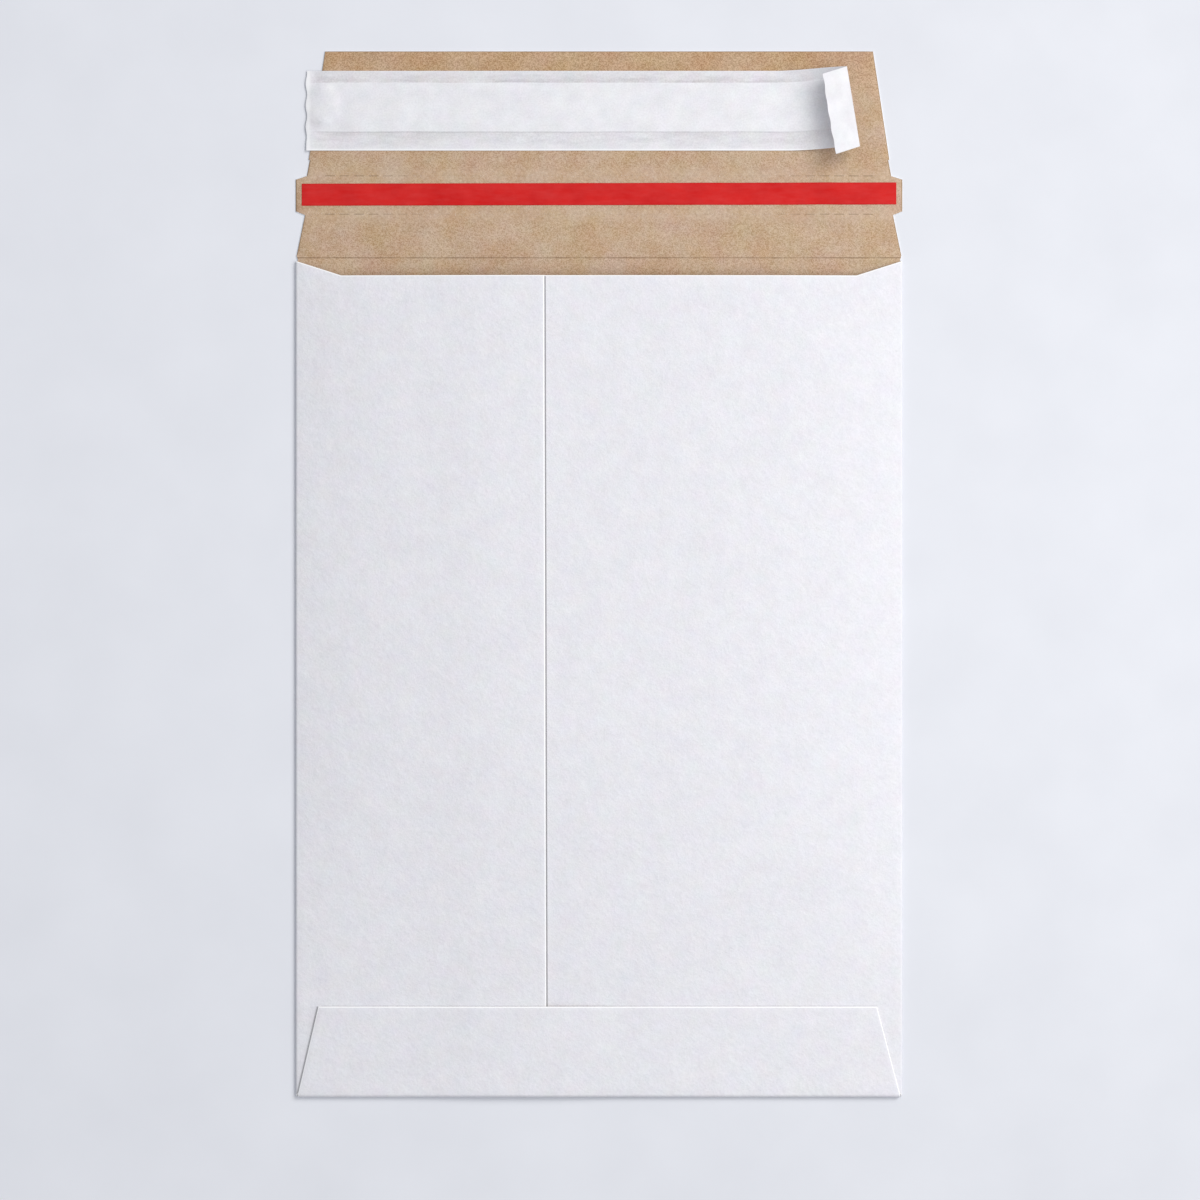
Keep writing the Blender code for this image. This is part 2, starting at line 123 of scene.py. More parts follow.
# The tear tape, laid a little aslant and pressed a little wider at each edge
TAPE_SLANT = 0.0022
TAPE_SPREAD = 0.0002
TAPE_RIPPLE = 0.00004
TAPE_WANDER = 0.00008

# The release liner
LINER = 0.00012
SEAT = 0.00005
LINER_START = 0.0442
LINER_WIDTH = 0.0329
LINER_MIDDLE = LINER_START + LINER_WIDTH / 2
LINER_LEFT = -HALF_WIDTH + 0.0043
LINER_SHOULDER = 0.0008
LIFT_X = HALF_WIDTH - 0.0499
LIFT_LENGTH = 0.030
LIFT_ANGLE = math.radians(28)
PEEL_SLANT = math.radians(9.3)
PEEL_DRIFT = 0.0014
FOLD_BACK_RADIUS = 0.00035
FOLD_BACK_END_ANGLE = math.radians(165)
FOLD_BACK_LENGTH = 0.0108
FOLD_BACK_CURL = math.radians(-10)
FOLD_BACK_ARC = FOLD_BACK_RADIUS * (FOLD_BACK_END_ANGLE - LIFT_ANGLE)
FOLD_FROM, FOLD_TO = 0.86, 0.90  # the share of the liner's points between which it folds back
DENT_DEPTH = 0.0004

# The liner's left end: it sinks past the board, curls up at its edge, and has a bubble and a crease
CURL_HEIGHT = 0.00045
CURL_REACH = 0.0010
SINK_DEPTH = 0.0005
SINK_RUN = 0.0022
BAND_END = LINER_LEFT + 0.0022
BUBBLE_X, BUBBLE_Y = -0.1134, 0.0628
BUBBLE_HALF_WIDTH, BUBBLE_HALF_LENGTH = 0.0042, 0.0080
BUBBLE_HEIGHT = 0.0008
CREASE_X, CREASE_Y = -0.1159, 0.0564
CREASE_SLOPE = 0.25
CREASE_HALF_LENGTH, CREASE_HALF_WIDTH = 0.0030, 0.0006
CREASE_HEIGHT = 0.0004

SHADE_ANGLE = math.radians(40)


def smooth(share):
    share = min(max(share, 0.0), 1.0)
    return share * share * (3 - 2 * share)


# Modelling


def begin_plane(name, left, right, low, high, height):
    """A flat rectangle to start a piece from, open in edit mode with nothing selected."""
    bpy.ops.object.select_all(action="DESELECT")
    bpy.ops.mesh.primitive_plane_add(size=1, location=((left + right) / 2, (low + high) / 2, height))
    piece = bpy.context.active_object
    piece.name = name
    piece.scale = (right - left, high - low, 1)
    bpy.ops.object.transform_apply(location=True, rotation=True, scale=True)
    bpy.ops.object.mode_set(mode="EDIT")
    bpy.ops.mesh.select_mode(type="EDGE")
    bpy.ops.mesh.select_all(action="DESELECT")
    return piece


def pick_edges(piece, test):
    """Selects the edges whose two ends both pass a test, and nothing else."""
    bpy.ops.mesh.select_all(action="DESELECT")
    bm = bmesh.from_edit_mesh(piece.data)
    for edge in bm.edges:
        edge.select_set(all(test(vert.co) for vert in edge.verts))
    bmesh.update_edit_mesh(piece.data)


def pick_edges_along(piece, axis):
    """Selects the edges that run along X (0) or Y (1)."""
    bpy.ops.mesh.select_all(action="DESELECT")
    bm = bmesh.from_edit_mesh(piece.data)
    for edge in bm.edges:
        run = edge.verts[1].co - edge.verts[0].co
        edge.select_set(abs(run[axis]) > 0.9 * run.length)
    bmesh.update_edit_mesh(piece.data)


def divide(piece, axis, cuts):
    """Cuts every edge that runs along an axis into equal lengths."""
    pick_edges_along(piece, axis)
    bpy.ops.mesh.subdivide(number_cuts=cuts)


def extrude(step, times=1):
    """Extrudes the selected edges by a step, so many times."""
    for _ in range(times):
        bpy.ops.mesh.extrude_region_move(TRANSFORM_OT_translate={"value": step})


def near(a, b):
    return abs(a - b) < 1e-5


def give_thickness(piece, materials, thickness):
    """Ends edit mode and makes a sheet solid. The last finish goes on its cut edges."""
    bpy.ops.object.mode_set(mode="OBJECT")
    for each in materials:
        piece.data.materials.append(each)
    solidify = piece.modifiers.new("thickness", "SOLIDIFY")
    solidify.thickness = thickness
    solidify.offset = 0
    solidify.use_even_offset = True
    solidify.material_offset = min(1, len(materials) - 1)
    solidify.material_offset_rim = len(materials) - 1
    bpy.ops.object.modifier_apply(modifier=solidify.name)


def weigh_cut_edges(piece, face_kind, left_square):
    """Marks for bevelling where the faces of one finish meet the cut edges, but for those left square."""
    bm = bmesh.new()
    bm.from_mesh(piece.data)
    weight = bm.edges.layers.float.new("bevel_weight_edge")
    for edge in bm.edges:
        kinds = {face.material_index for face in edge.link_faces}
        square = all(left_square(vert.co) for vert in edge.verts)
        edge[weight] = 1.0 if kinds == {face_kind, 2} and not square else 0.0
    bm.to_mesh(piece.data)
    bm.free()


def at_score(co):
    return abs(co.y - SCORE_Y) < HALF_SCORE + 1e-5 and co.z < BOARD + 1e-5


def soften_edges(piece, width, method, finish=-1):
    """Bevels the marked or sharp edges and shades the piece smooth."""
    soften = piece.modifiers.new("soft edges", "BEVEL")
    soften.width = width
    soften.segments = 3
    soften.material = finish
    soften.use_clamp_overlap = False
    soften.limit_method = method
    soften.angle_limit = math.radians(60)
    bpy.ops.object.modifier_apply(modifier=soften.name)
    bpy.ops.object.shade_smooth_by_angle(angle=SHADE_ANGLE)
    return piece


# The pocket


def bow(x, y):
    """How far the back stands above its pinched sides, y from the bottom fold's outer edge."""
    rise = smooth((y - FOLD_START) / BOW_LENGTH)
    return (MOUTH_GAPE - SIDE_FOLD_GAP) * rise * (1 - min(abs(x) / FOLD_X, 1.0) ** BOW_POWER)


def sway(x, y):
    """The board's slight unevenness, none at its folds and its lip."""
    within = smooth((FOLD_X - abs(x)) / 0.03) * smooth(y / 0.03) * smooth((POCKET_LENGTH - y) / 0.05)
    return SWAY_HEIGHT * within * noise.noise(Vector((x * 19, y * 15, 4)))


def left_panel_lift(x):
    return LAYER_STEP * smooth((x - (RIGHT_PANEL_EDGE - PANEL_RAMP)) / (PANEL_RAMP - BOARD))


def bottom_flap_lift(x):
    """How far the bottom flap stands above a lone back panel, less the step of its own fold."""
    if x <= SEAM_X:
        return left_panel_lift(x)
    return LAYER_STEP * (1 - smooth((x - SEAM_X - BOARD) / PANEL_RAMP))


def back_top(x):
    run = min((FOLD_X - min(abs(x), FOLD_X)) / CORNER_RUN, 1.0)
    return POCKET_LENGTH - CORNER_DROP - (LIP_DROP - CORNER_DROP) * run


def draw_wrap(piece):
    """From the front panel, folds both sides over and draws the back panels in to the seam."""
    back_z = BOARD / 2 + 2 * FOLD_RADIUS
    for side, last in ((1, RIGHT_PANEL_EDGE), (-1, SEAM_X)):
        pick_edges(piece, lambda co: near(co.x, side * FOLD_X))
        bpy.ops.mesh.spin(
            steps=8,
            angle=math.pi,
            center=(side * FOLD_X, 0, BOARD / 2 + FOLD_RADIUS),
            axis=(0, side, 0),
        )
        pick_edges(piece, lambda co: near(co.x, side * FOLD_X) and near(co.z, back_z))
        extrude((-side * CORNER_RUN / CORNER_STEPS, 0, 0), CORNER_STEPS)
        corner = side * (FOLD_X - CORNER_RUN)
        reach = abs(last - corner)
        steps = round(reach / PANEL_STEP)
        extrude((-side * reach / steps, 0, 0), steps)


def draw_bottom_flap(piece):
    pick_edges(piece, lambda co: near(co.y, BOTTOM_Y + FOLD_START) and near(co.z, BOARD / 2))
    bpy.ops.mesh.spin(
        steps=10,
        angle=math.pi,
        center=(0, BOTTOM_Y + FOLD_START, BOARD / 2 + BOTTOM_FOLD_RADIUS),
        axis=(1, 0, 0),
    )
    top = BOARD / 2 + 2 * BOTTOM_FOLD_RADIUS
    pick_edges(piece, lambda co: near(co.y, BOTTOM_Y + FOLD_START) and near(co.z, top))
    extrude((0, (BOTTOM_FLAP_LENGTH - FOLD_START) / BOTTOM_FLAP_STEPS, 0), BOTTOM_FLAP_STEPS)


def shape_pocket_point(co, front_end):
    """Trims a flat point to the mouth's outline and lifts the back into its bow."""
    y = co.y - BOTTOM_Y
    back_z = BOARD / 2 + 2 * FOLD_RADIUS
    flap_z = BOARD / 2 + 2 * BOTTOM_FOLD_RADIUS
    if co.z > back_z + 0.0001 and y >= FOLD_START - 1e-6 or near(co.z, flap_z):
        share = (y - FOLD_START) / (BOTTOM_FLAP_LENGTH - FOLD_START)
        taper = BOTTOM_FLAP_TAPER - (LEFT_TAPER_LESS if co.x < 0 else 0)
        co.x *= 1 - taper / FOLD_X * share
        co.z += bow(co.x, y) + bottom_flap_lift(co.x) + sway(co.x, y)
        return
    if y < FOLD_START - 1e-6:
        co.z += (co.z - BOARD / 2) / (2 * BOTTOM_FOLD_RADIUS) * bottom_flap_lift(co.x)
        return
    turn = (co.z - BOARD / 2) / (2 * FOLD_RADIUS)
    top = front_end + (back_top(co.x) - front_end) * turn
    outward = max(0.0, (abs(co.x) - FOLD_X) / FOLD_RADIUS)
    start = FOLD_START * (1 - 0.75 * outward)
    y = start + (y - FOLD_START) * (top - start) / (front_end - FOLD_START)
    co.y = BOTTOM_Y + y
    if near(co.z, back_z) and abs(co.x) < FOLD_X:
        co.z += bow(co.x, y) + sway(co.x, y)


def make_pocket_board(white, kraft, cut):
    """The blank up to its score: front panel, side folds, lapped back panels and bottom flap."""
    front_end = POCKET_LENGTH - HALF_SCORE
    piece = begin_plane(
        "pocket_board", -FOLD_X, FOLD_X, BOTTOM_Y + FOLD_START, BOTTOM_Y + front_end, BOARD / 2
    )
    divide(piece, 1, 69)
    divide(piece, 0, 111)
    draw_wrap(piece)
    draw_bottom_flap(piece)
    bm = bmesh.from_edit_mesh(piece.data)
    left_panel = panel_points(bm, -1)
    for vert in bm.verts:
        shape_pocket_point(vert.co, front_end)
    for vert in left_panel:
        vert.co.z += left_panel_lift(vert.co.x)
        drawn = smooth((vert.co.x + FOLD_X) / (FOLD_X + SEAM_X))
        vert.co.x -= SEAM_SLANT * drawn * (vert.co.y - BOTTOM_Y) / POCKET_LENGTH
    bmesh.update_edit_mesh(piece.data)
    bpy.ops.mesh.select_all(action="SELECT")
    bpy.ops.mesh.normals_make_consistent(inside=False)
    bm = bmesh.from_edit_mesh(piece.data)
    front = min(bm.faces, key=lambda face: face.calc_center_median().z)
    if front.normal.z > 0:
        bpy.ops.mesh.flip_normals()
    give_thickness(piece, [white, kraft, cut], BOARD)
    weigh_cut_edges(piece, 0, at_score)
    return soften_edges(piece, CUT_SLOPE, "WEIGHT", 2)


def panel_points(bm, side):
    """The points of one back panel, found by walking in from its side fold."""
    back_z = BOARD / 2 + 2 * FOLD_RADIUS
    start = [v for v in bm.verts if near(v.co.x, side * FOLD_X) and near(v.co.z, back_z)]
    found = set(start)
    while start:
        vert = start.pop()
        for edge in vert.link_edges:
            other = edge.other_vert(vert)
            inward = (vert.co.x - other.co.x) * side > -1e-6
            if other not in found and near(other.co.z, back_z) and inward:
                found.add(other)
                start.append(other)
    return found


# The closing flap


def make_flap_board(white, kraft, cut, rim):
    """The blank past its score, drawn out edge by edge along its slanted and notched sides."""
    low, high = SCORE_Y + HALF_SCORE, SCORE_Y + FLAP_SIDES[0][0]
    piece = begin_plane("flap_board", -FLAP_BASE_X, FLAP_BASE_X, low, high, KRAFT_Z - BOARD / 2)
    divide(piece, 0, 63)
    previous, width = FLAP_SIDES[0][0], FLAP_BASE_X
    for past_score, half in FLAP_SIDES:
        pick_edges(piece, lambda co: near(co.y, SCORE_Y + previous))
        if past_score > previous:
            extrude((0, past_score - previous, 0))
        bpy.ops.transform.resize(value=(half / width, 1, 1), center_override=(0, 0, 0))
        previous, width = past_score, half
    bpy.ops.mesh.select_all(action="SELECT")
    bpy.ops.mesh.normals_make_consistent(inside=False)
    bm = bmesh.from_edit_mesh(piece.data)
    bm.faces.ensure_lookup_table()
    if bm.faces[0].normal.z > 0:
        bpy.ops.mesh.flip_normals()
    give_thickness(piece, [white, kraft, cut], BOARD)
    weigh_cut_edges(piece, 1, at_score)
    piece.data.materials.append(rim)
    soften_edges(piece, FLAP_EDGE_SLOPE, "WEIGHT", 3)
    for face in piece.data.polygons:
        if face.material_index == 3 and face.normal.z < 0.5:
            face.material_index = 2
    return cut_tear_lines(piece)


def cut_tear_lines(piece):
    """Cuts both rows of dashes half through the board, from its white side."""
    bpy.ops.object.select_all(action="DESELECT")
    bpy.ops.mesh.primitive_cube_add(
        size=1, location=(FIRST_CUT_X + TEAR_CUT_LENGTH / 2, SCORE_Y + TEAR_LINES[0], 0)
    )
    blades = bpy.context.active_object
    blades.scale = (TEAR_CUT_LENGTH, TEAR_CUT_WIDTH, BOARD)
    bpy.ops.object.transform_apply(location=True, rotation=True, scale=True)
    row_step = TEAR_LINES[1] - TEAR_LINES[0]
    for copies, step in ((TEAR_CUTS, (TEAR_CUT_PITCH, 0, 0)), (2, (0, row_step, 0))):
        repeat = blades.modifiers.new("repeat", "ARRAY")
        repeat.count = copies
        repeat.use_relative_offset = False
        repeat.use_constant_offset = True
        repeat.constant_offset_displace = step
        bpy.ops.object.modifier_apply(modifier=repeat.name)
    bpy.context.view_layer.objects.active = piece
    slit = piece.modifiers.new("tear cuts", "BOOLEAN")
    slit.operation = "DIFFERENCE"
    slit.solver = "EXACT"
    slit.object = blades
    bpy.ops.object.modifier_apply(modifier=slit.name)
    bpy.data.objects.remove(blades)
    return piece


def make_score_fold(white, kraft, cut):
    """The creased strip that joins the flap to the pocket."""
    piece = begin_plane(
        "score_fold", -FOLD_X, FOLD_X, SCORE_Y - HALF_SCORE, SCORE_Y + HALF_SCORE, KRAFT_Z - BOARD / 2
    )
    divide(piece, 1, 15)
    divide(piece, 0, 399)
    bm = bmesh.from_edit_mesh(piece.data)
    for vert in bm.verts:
        share = (vert.co.y - SCORE_Y + HALF_SCORE) / (2 * HALF_SCORE)
        vert.co.x *= 1 + (FLAP_BASE_X / FOLD_X - 1) * share
        groove = math.exp(-(((vert.co.y - SCORE_Y) / GROOVE_WIDTH) ** 2))
        wander = 0.5 + 0.5 * noise.noise(Vector((vert.co.x * 300, 0, 7)))
        vert.co.z -= GROOVE_DEPTH * groove * (0.4 + 0.6 * wander)
    bpy.ops.mesh.select_all(action="SELECT")
    bm.faces.ensure_lookup_table()
    if bm.faces[0].normal.z > 0:
        bpy.ops.mesh.flip_normals()
    bmesh.update_edit_mesh(piece.data)
    give_thickness(piece, [white, kraft, cut], BOARD)
    bpy.ops.object.shade_smooth_by_angle(angle=SHADE_ANGLE)
    return piece


def make_tape(red):
    """The tear tape: a thin ribbon that ripples a little where it was laid."""
    low, high = TAPE_LOW[1] - TAPE_SPREAD, TAPE_HIGH[1] + TAPE_SPREAD
    middle_z = (TAPE_LOW[2] + TAPE_HIGH[2]) / 2
    piece = begin_plane("red_tape", TAPE_LOW[0], TAPE_HIGH[0], low, high, middle_z)
    divide(piece, 1, 9)
    divide(piece, 0, 299)
    bm = bmesh.from_edit_mesh(piece.data)
    for vert in bm.verts:
        ripple = noise.noise(Vector((vert.co.x * 90, vert.co.y * 25, 3)))
        vert.co.z += TAPE_RIPPLE * max(ripple, 0)
        vert.co.y += TAPE_WANDER * noise.noise(Vector((vert.co.x * 60, 0, 11))) + TAPE_SLANT * vert.co.x
    bmesh.update_edit_mesh(piece.data)
    give_thickness(piece, [red], TAPE_HIGH[2] - TAPE_LOW[2])
    return soften_edges(piece, THIN_SLOPE, "ANGLE")


# The release liner


def peel_curve(length):
    """The peeled end's profile past where it leaves the flap: (run, height, angle)."""
    lift_radius = LIFT_LENGTH / LIFT_ANGLE
    lifted = min(length, LIFT_LENGTH) / lift_radius
    run = lift_radius * math.sin(lifted)
    height = lift_radius * (1 - math.cos(lifted))
    angle = lifted
    if length > LIFT_LENGTH:
        folded = min(length - LIFT_LENGTH, FOLD_BACK_ARC) / FOLD_BACK_RADIUS
        run += FOLD_BACK_RADIUS * (math.sin(angle + folded) - math.sin(angle))
        height += FOLD_BACK_RADIUS * (math.cos(angle) - math.cos(angle + folded))
        angle += folded
    past = length - LIFT_LENGTH - FOLD_BACK_ARC
    if past > 0:
        curl_radius = FOLD_BACK_LENGTH / FOLD_BACK_CURL
        curled = past / curl_radius
        run += curl_radius * (math.sin(angle + curled) - math.sin(angle))
        height += curl_radius * (math.cos(angle) - math.cos(angle + curled))
        angle += curled
    return run, height, angle


def liner_wrinkles(x, y):
    """Fine creases and dimples of the thin paper, above the flat of its layer."""
    fine = noise.noise(Vector((x * 260, y * 420, 1)))
    broad = noise.noise(Vector((x * 60, y * 150, 5)))
    edge = math.exp(-(y - LINER_START) / 0.0009) + math.exp((y - LINER_START - LINER_WIDTH) / 0.0009)
    curl = 0.7 + 0.6 * noise.noise(Vector((x * 40, y * 20, 9)))
    return 0.00008 * max(fine, 0) + 0.00022 * max(broad, 0) + 0.00018 * edge * curl


def tab_dents(length, y):
    """Soft dents in the folded-back end, from the hand that folded it."""
    dents = noise.noise(Vector((length * 190, y * 110, 21)))
    return DENT_DEPTH * dents * smooth((length - LIFT_LENGTH - FOLD_BACK_ARC) / 0.003)


def left_curl(x, y):
    """The overhanging left end sinks past the board's side, and its very edge curls up."""
    (low_y, low_half), (high_y, high_half) = FLAP_SIDES[-2:]
    side_x = -low_half + (low_half - high_half) * (y - low_y) / (high_y - low_y)
    sunk = smooth((side_x + FLAP_EDGE_SLOPE - x) / SINK_RUN)
    corner = 1 + 0.5 * math.exp(-(y - LINER_START) / 0.004)
    curled = corner * math.exp(-max(x - LINER_LEFT, 0) / CURL_REACH)
    return CURL_HEIGHT * curled - SINK_DEPTH * sunk


def band_wander(x):
    """How far the band's pressed-through outline strays outwards along its length."""
    return 0.0002 + 0.0002 * noise.noise(Vector((x * 45, 0, 2)))


def blister(x, y):
    """A loose bubble with a sunk middle at the left end, and a short crease below it."""
    from_middle = math.hypot((x - BUBBLE_X) / BUBBLE_HALF_WIDTH, (y - BUBBLE_Y) / BUBBLE_HALF_LENGTH)
    ring = math.exp(-(((from_middle - 0.80) / 0.34) ** 2))
    along = x - CREASE_X
    across = y - CREASE_Y + CREASE_SLOPE * along
    crease = math.exp(-((along / CREASE_HALF_LENGTH) ** 2) - (across / CREASE_HALF_WIDTH) ** 2)
    return BUBBLE_HEIGHT * ring + CREASE_HEIGHT * crease


def liner_relief(x, y):
    """Height of the liner above its margins: a crowned band, with the blister at its left end."""
    low = BAND_LOW[1] - SCORE_Y - band_wander(x)
    high = BAND_HIGH[1] - SCORE_Y + band_wander(x + 1)
    crown = smooth(min(y - low, high - y) / 0.0030)
    over_band = min(
        smooth((y - low + LINER_SHOULDER) / LINER_SHOULDER),
        smooth((high + LINER_SHOULDER - y) / LINER_SHOULDER),
    )
    past_end = smooth((x - BAND_END) / LINER_SHOULDER)
    return (BAND_HIGH[2] - KRAFT_Z + 0.00012 * crown) * over_band * past_end + blister(x, y)


def kraft_showing(x, y):
    """How far the paper is pressed on to bare kraft: 1 beside the adhesive, 0 over it or lifted off."""
    low = BAND_LOW[1] - SCORE_Y - band_wander(x)
    high = BAND_HIGH[1] - SCORE_Y + band_wander(x + 1)
    inside = min(smooth((y - low + 0.0005) / 0.0004), smooth((high - y + 0.0005) / 0.0004))
    lifted = smooth((x - LIFT_X - 0.008) / 0.012)
    from_edge = min(y - LINER_START, LINER_START + LINER_WIDTH - y)
    pressed = (0.35 + 0.65 * smooth(from_edge / 0.0055)) * smooth(from_edge / 0.0008 + 0.3)
    pressed *= 1.0 if y > LINER_MIDDLE else 0.6
    left = smooth((x - LINER_LEFT - 0.001) / 0.004)
    return (1 - inside) * (1 - lifted) * pressed * left


def torn_edge(y):
    """How far the torn left end strays along its length, smoother towards its lower corner."""
    share = (y - LINER_START) / LINER_WIDTH
    return 0.0003 * math.sin(2 * math.pi * 3.7 * (share - 0.365)) * smooth(share / 0.3)


def folded_edge(y):
    """How far the folded-back end's edge bulges past a straight line."""
    share = (y - LINER_START) / LINER_WIDTH
    return 0.0004 * math.sin(math.pi * share) + 0.00015 * math.sin(2 * math.pi * 4.3 * share)


def lying_point(place, y):
    """A point of the liner where it lies on the flap, from its place along the length and across."""
    torn = max(0.0, 1 - (place - LINER_LEFT) / (BAND_LOW[0] - LINER_SHOULDER - LINER_LEFT))
    slanted = max(0.0, (place - BAND_LOW[0]) / (LIFT_X - BAND_LOW[0]))
    x = place + torn_edge(y) * torn - (y - LINER_MIDDLE) * math.tan(PEEL_SLANT) * slanted
    height = SEAT + LINER / 2 + liner_relief(x, y) + liner_wrinkles(x, y) + left_curl(x, y)
    return Vector((x, SCORE_Y + y, KRAFT_Z + height))


def peeled_point(length, y):
    """A point of the peeled end, from its length past where the liner leaves the flap."""
    across = Vector((math.cos(PEEL_SLANT), math.sin(PEEL_SLANT), 0))
    axis = Vector((math.sin(PEEL_SLANT), -math.cos(PEEL_SLANT), 0))
    from_middle = y - LINER_MIDDLE
    flattened = 1 - smooth((length - LIFT_LENGTH / 2) / (LIFT_LENGTH / 2))
    relief = liner_relief(0, y) * flattened + liner_wrinkles(LIFT_X + length, y) * (0.3 + 0.7 * flattened)
    relief += tab_dents(length, y)
    end_share = max(0.0, (length - LIFT_LENGTH - FOLD_BACK_ARC) / FOLD_BACK_LENGTH)
    reach = length + folded_edge(y) * end_share
    flat_x = (length - from_middle * math.sin(PEEL_SLANT)) / math.cos(PEEL_SLANT)
    on_axis = flat_x * math.sin(PEEL_SLANT) - from_middle * math.cos(PEEL_SLANT)
    run, height, angle = peel_curve(reach)
    upright = Vector((0, 0, 1)) * math.cos(angle) - across * math.sin(angle)
    drift = PEEL_DRIFT * smooth(length / LIFT_LENGTH)
    start = Vector((LIFT_X, SCORE_Y + LINER_MIDDLE + drift, KRAFT_Z + SEAT + LINER / 2))
    return start + axis * on_axis + across * run + Vector((0, 0, height)) + upright * relief


def liner_row(share):
    """Where a row of points lies across the liner: rows crowd together at the adhesive's two sides."""
    low = BAND_LOW[1] - SCORE_Y
    high = BAND_HIGH[1] - SCORE_Y
    places = (
        (0.0, LINER_START),
        (0.2, low - 0.0016),
        (0.34, low + 0.0002),
        (0.62, high - 0.0002),
        (0.76, high + 0.0016),
        (1.0, LINER_START + LINER_WIDTH),
    )
    for (from_share, start), (to_share, end) in zip(places, places[1:]):
        if share <= to_share:
            return start + (end - start) * (share - from_share) / (to_share - from_share)
    return end


def make_liner(paper, release):
    """The liner, drawn flat on a unit square and then laid over the adhesive and peeled at its end."""
    piece = begin_plane("liner", 0, 1, 0, 1, 0)
    divide(piece, 1, 83)
    divide(piece, 0, 359)
    bm = bmesh.from_edit_mesh(piece.data)
    backing = bm.verts.layers.float.new("over_kraft")
    lying = LIFT_X - LINER_LEFT
    flat = lying + LIFT_LENGTH
    for vert in bm.verts:
        share = vert.co.x
        y = liner_row(vert.co.y)
        if share < FOLD_FROM:
            length = share / FOLD_FROM * flat
        elif share < FOLD_TO:
            length = flat + (share - FOLD_FROM) / (FOLD_TO - FOLD_FROM) * FOLD_BACK_ARC
        else:
            length = flat + FOLD_BACK_ARC + (share - FOLD_TO) / (1 - FOLD_TO) * FOLD_BACK_LENGTH
        vert[backing] = kraft_showing(LINER_LEFT + length, y)
        vert.co = lying_point(LINER_LEFT + length, y) if length < lying else peeled_point(length - lying, y)
    bmesh.update_edit_mesh(piece.data)
    give_thickness(piece, [paper, release], LINER)
    return soften_edges(piece, THIN_SLOPE, "ANGLE")


# Finishes

GRAIN_TURN = math.radians(-33)  # the way the board's fibres lie
FLECK_SIZE = 0.07

# Half widths of lines and corners that the finishes draw, most of them painted shade and painted highlights,
# and where the kraft turns browner past the score
TEAR_MARK = 0.00026
SCORE_MARK = 0.0003
TAPE_EDGE_WIDTH = 0.0005
LAP_CORNER = 0.00045
SLANTED_LAP_CORNER = 0.0005
SLANTED_LAP_SHADE = 0.0030
ABOVE_FRONT = 0.0012
TEAR_HIGHLIGHT_REACH = 0.004
BROWN_FROM, BROWN_TO = 0.062, 0.080

# Colours
KRAFT_WARM = (0.515, 0.326, 0.188)
KRAFT_PALE = (0.576, 0.420, 0.297)
KRAFT_SHADE = (0.22, 0.125, 0.06)
KRAFT_SHINE = (0.85, 0.69, 0.53)
KRAFT_SPECK = (0.20, 0.115, 0.06)
KRAFT_FLECK = (0.16, 0.09, 0.045)
# painted highlights on raised fibres beside the tear lines
KRAFT_RAISED_HIGHLIGHT = (0.86, 0.72, 0.60)
KRAFT_TOP_TINGE = (0.95, 0.88, 0.79)
# painted shade in the pressed-through tear dashes
KRAFT_DASH_SHADE = (0.20, 0.13, 0.08)
# painted shade in the score's crease
KRAFT_CREASE_SHADE = (0.15, 0.075, 0.03)
RIM_DARK = (0.30, 0.19, 0.10)
RIM_PALE = (0.46, 0.33, 0.22)
WHITE_BOARD = (0.803, 0.799, 0.838)
WHITE_FLECK = (0.4, 0.38, 0.38)
LAP_SHADOW = (0.12, 0.115, 0.12)
# cut edges: pale bare pulp, whitened further as a painted highlight
CUT_GREY = (0.95, 0.95, 0.965)
CUT_WHITE = (0.99, 0.99, 1.0)
TAPE_DEEP = (0.575, 0.019, 0.019)
TAPE_BRIGHT = (0.69, 0.030, 0.028)
TAPE_EDGE = (0.36, 0.020, 0.018)
LINER_WHITE = (0.822, 0.82, 0.85)
# painted highlight for the liner's curled torn end and lower edge
LINER_EDGE_HIGHLIGHT = (0.97, 0.97, 0.98)
MARGIN_DARK = (0.575, 0.55, 0.57)
MARGIN_PALE = (0.76, 0.745, 0.765)
RELEASE_WHITE = (0.755, 0.75, 0.775)
FLOOR_LEFT = (0.835, 0.85, 0.90)
FLOOR_RIGHT = (0.735, 0.75, 0.795)


def add_group(name, inputs, outputs):
    group = bpy.data.node_groups.new(name, "ShaderNodeTree")
    for label, kind, value in inputs:
        socket = group.interface.new_socket(name=label, in_out="INPUT", socket_type=kind)
        if value is not None:
            socket.default_value = value
    for label, kind in outputs:
        group.interface.new_socket(name=label, in_out="OUTPUT", socket_type=kind)
    return group, group.nodes.new("NodeGroupInput"), group.nodes.new("NodeGroupOutput")


def add_node(tree, kind, **settings):
    node = tree.nodes.new(kind)
    for key, value in settings.items():
        setattr(node, key, value)
    return node


def math_node(tree, operation, first, second=None, clamp=False):
    node = add_node(tree, "ShaderNodeMath", operation=operation, use_clamp=clamp)
    for socket, value in zip(node.inputs, (first, second)):
        if value is None:
            continue
        if isinstance(value, (int, float)):
            socket.default_value = value
        else:
            tree.links.new(value, socket)
    return node.outputs["Value"]


